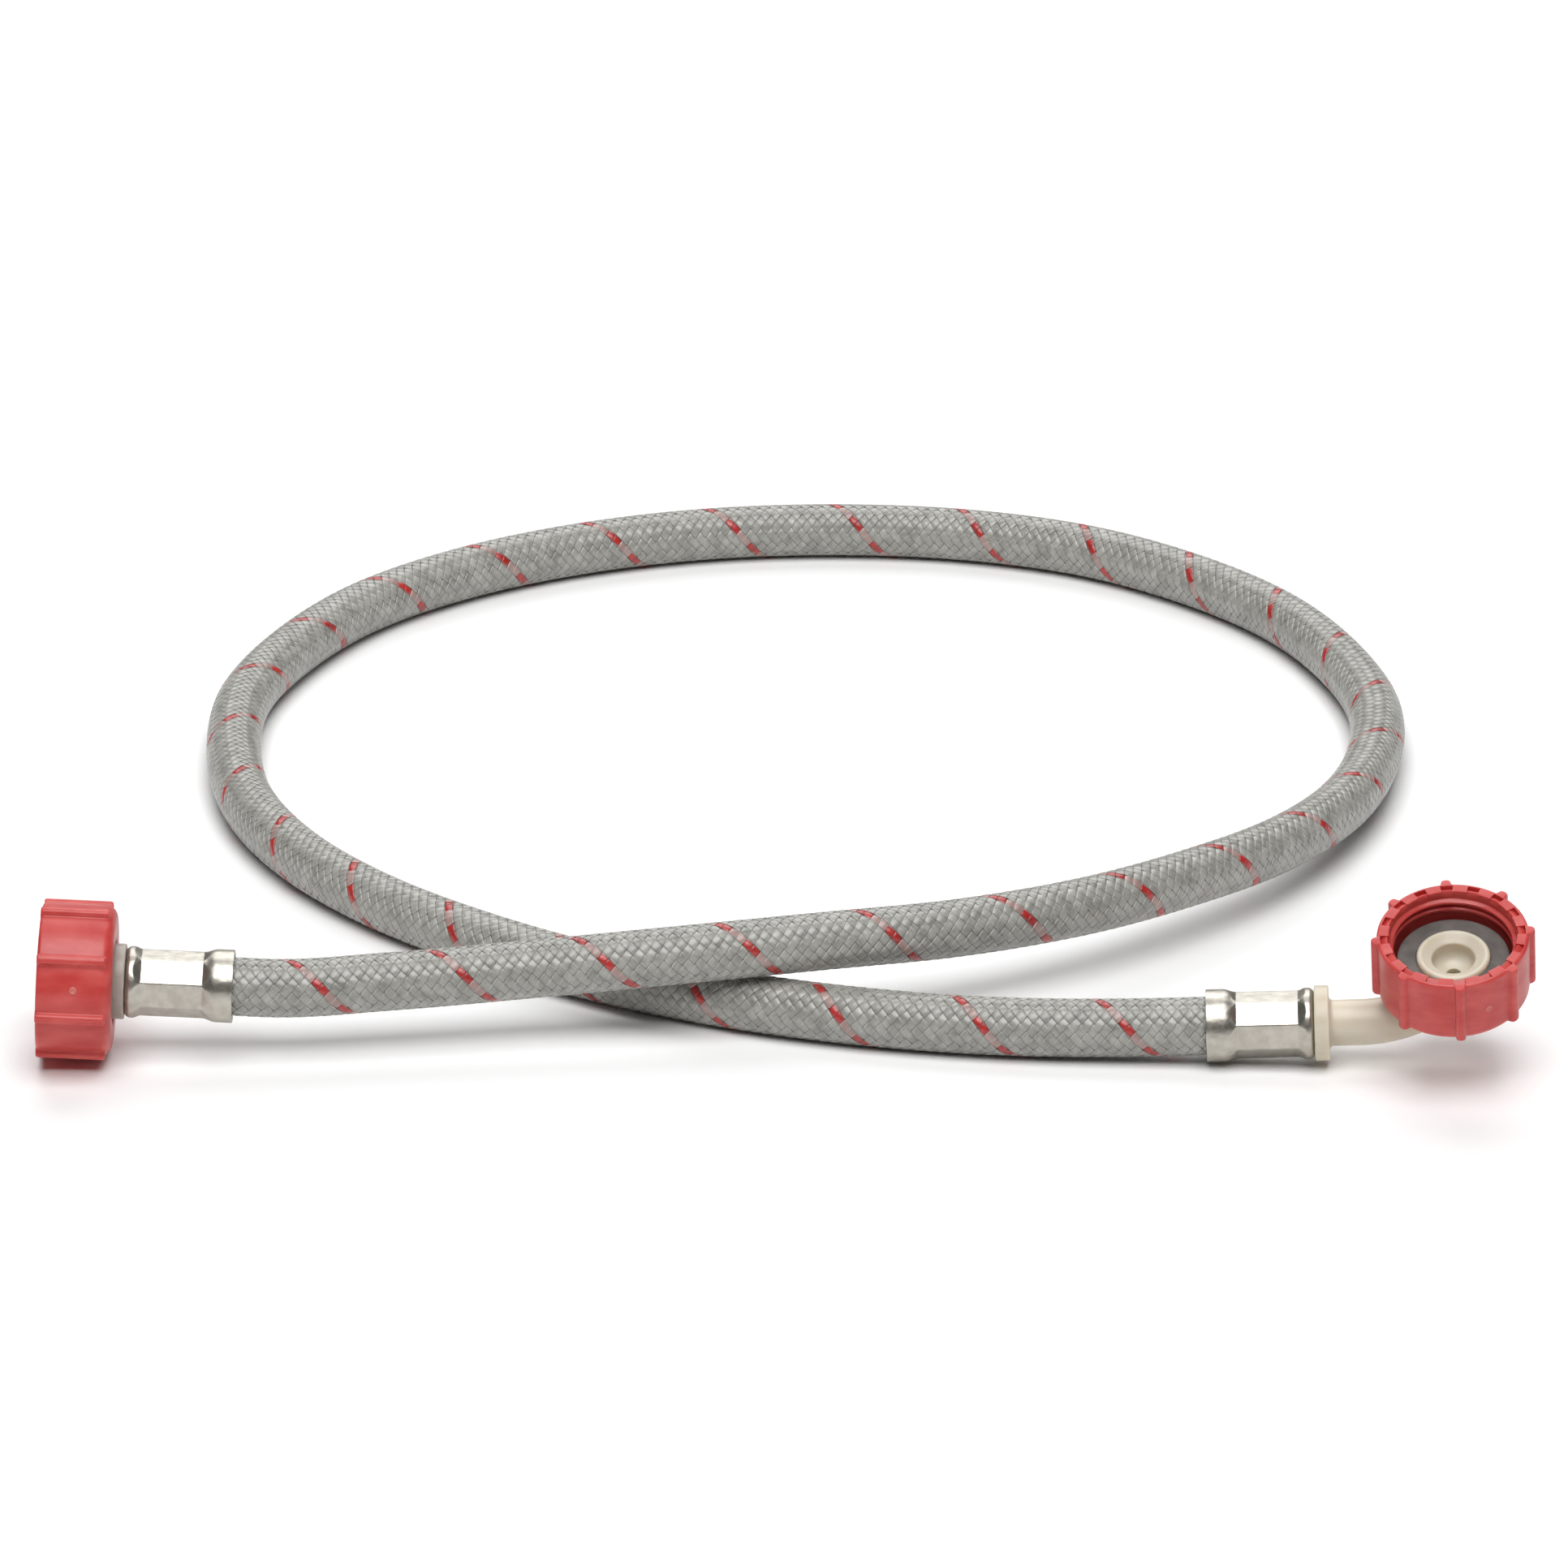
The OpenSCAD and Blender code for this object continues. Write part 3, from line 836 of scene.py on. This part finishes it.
def build_nut(name, node, place, phase):
    """Union nut: eight ribs, sixteen pockets in the rim, and a helical thread."""
    angle, offset, sector = sector_angles()
    rib = np.interp(np.radians(abs(offset)) * NUT_R, RIB_DISTANCE, RIB_SHARE)
    rib = np.where(sector % 2 == 0, rib, 0)
    pocket = (abs(offset) < POCKET_HALF_ANGLE).astype(float)
    plain = np.ones(len(angle))
    rows = []

    def row(r, z, rib_share=0):
        rows.append((r + (RIB_TOP_R - r) * rib * rib_share, z * plain))

    row(BACK_HOLE_R, 0.3)
    row(BACK_HOLE_R + 0.3, 0)
    for r, z in arc(NUT_BACK_R - BACK_ROUND, BACK_ROUND, BACK_ROUND, -90, -36, 5):
        row(r, z)
    for z, share in RIB_RISE:
        round_z = max(BACK_ROUND - z, 0)
        edge_r = math.sqrt(BACK_ROUND**2 - round_z**2) - BACK_ROUND
        row(NUT_BACK_R + (NUT_R - NUT_BACK_R) * z / NUT_LEN + edge_r, z, share)
    rim = arc(NUT_R - RIM_ROUND, NUT_LEN - RIM_ROUND, RIM_ROUND, 0, 90, 4)
    for (r, z), share in zip(rim, RIB_RIM_SHARE):
        row(r, z, share)
    row(POCKET_OUT_R + 0.01, NUT_LEN)
    # Down a pocket and over the rim's inner edge: radius and depth beside a pocket, then in it
    steps = [
        (POCKET_OUT_R, 0, POCKET_OUT_R, POCKET_DEPTH), (POCKET_LIP_R, 0, POCKET_LIP_R, 0.12),
        (13.1, 0, POCKET_LIP_R - 0.06, 0.12), (LIP_R + 0.05, 0.03, 13.2, 0.25),
        (LIP_R, 0.12, 13.1, 0.5), (LIP_R, POCKET_CHAMFER, LIP_R, POCKET_CHAMFER),
    ]
    for r, depth, pocket_r, pocket_depth in steps:
        radius = r + (pocket_r - r) * pocket
        rows.append((radius, NUT_LEN - depth - (pocket_depth - depth) * pocket))
    for z in np.arange(LIP_END, SPIGOT_TOP - 0.01, -THREAD_STEP):
        rows.append((thread_radius(angle, z), z * plain))
    for z in (SPIGOT_TOP - 0.1, 6, BACK_WALL):
        row(CHAMBER_R, z)
    row(BACK_HOLE_R, BACK_WALL)
    turn = angle + phase
    rings = np.array([np.stack([r * np.cos(turn), r * np.sin(turn), z], -1) for r, z in rows])
    nut = ring_piece(name, rings, RED_PLASTIC, node, place, SHARP_NUT)
    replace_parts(nut, node)
    build_gate(name + "_gate", node, place, phase + math.radians(180 / RIBS))


def build_gate(name, body, place, turn):
    """Low ring-shaped gate mark on the nut's side, halfway between two ribs."""
    rings = turned(GATE_OUTLINE, 32)
    out = Matrix.Rotation(turn, 4, "Z") @ Matrix.Translation(Vector((NUT_R, 0, NUT_LEN / 2)) * MM)
    ring_piece(
        name, rings, GATE_PLASTIC, body, place @ out @ Z_TO_X, 60
    )


# ---------------------------------------------------------------- stage

def studio_world():
    """Even white light, with a darker stretch low in front for the metal to mirror."""
    n = Nodes("studio", "worlds")
    direction = n.add("SeparateXYZ", {0: n.add("TexCoord").outputs["Generated"]}).outputs
    front = n.ramp(direction["Y"], 0, -0.4)
    low = n.ramp(direction["Z"], 0.7, 0.45)
    above_floor = n.ramp(direction["Z"], 0, 0.12)
    dark = n.maths("MULTIPLY", n.maths("MULTIPLY", front, low), above_floor)
    n.shade(Strength=n.scale_to(dark, WORLD_STRENGTH, DARK_STRENGTH))
    return n.owner


def build_stage():
    """Plain pale floor and soft studio light."""
    mesh = bpy.data.meshes.new("floor")
    half = FLOOR_SIZE / 2
    corners = [(-half, -half, 0), (half, -half, 0), (half, half, 0), (-half, half, 0)]
    mesh.from_pydata(corners, [], [(0, 1, 2, 3)])
    n = Nodes("floor")
    n.shade(Base_Color=(0.94, 0.94, 0.94, 1), Roughness=0.8, Specular_IOR_Level=0.1)
    mesh.materials.append(n.owner)
    floor = bpy.data.objects.new("floor", mesh)
    bpy.context.scene.collection.objects.link(floor)
    for name, place, size, power in LIGHTS:
        data = bpy.data.lights.new(name, "AREA")
        data.size = size
        data.energy = power
        light = bpy.data.objects.new(name, data)
        light.location = place
        light.rotation_euler = (CAMERA_TARGET - Vector(place)).to_track_quat("-Z", "Y").to_euler()
        bpy.context.scene.collection.objects.link(light)
    bpy.context.scene.world = studio_world()
    bpy.context.scene.view_settings.view_transform = "Standard"


add_camera()
build_hose()
for end, place in (("straight", AT_STRAIGHT_MOUTH), ("elbow", AT_ELBOW_MOUTH)):
    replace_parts(build_ferrule(end + "_sleeve", place), end + "_ferrule")
build_straight_tail()
build_elbow_tail()
build_washer("straight_washer", "straight_gasket", ON_STRAIGHT_NUT)
build_washer("elbow_washer", "elbow_gasket", ON_ELBOW_NUT)
build_nut("straight_union_nut", "straight_nut", ON_STRAIGHT_NUT, STRAIGHT_RIB_PHASE)
build_nut("elbow_union_nut", "elbow_nut", ON_ELBOW_NUT, ELBOW_RIB_PHASE)
build_stage()
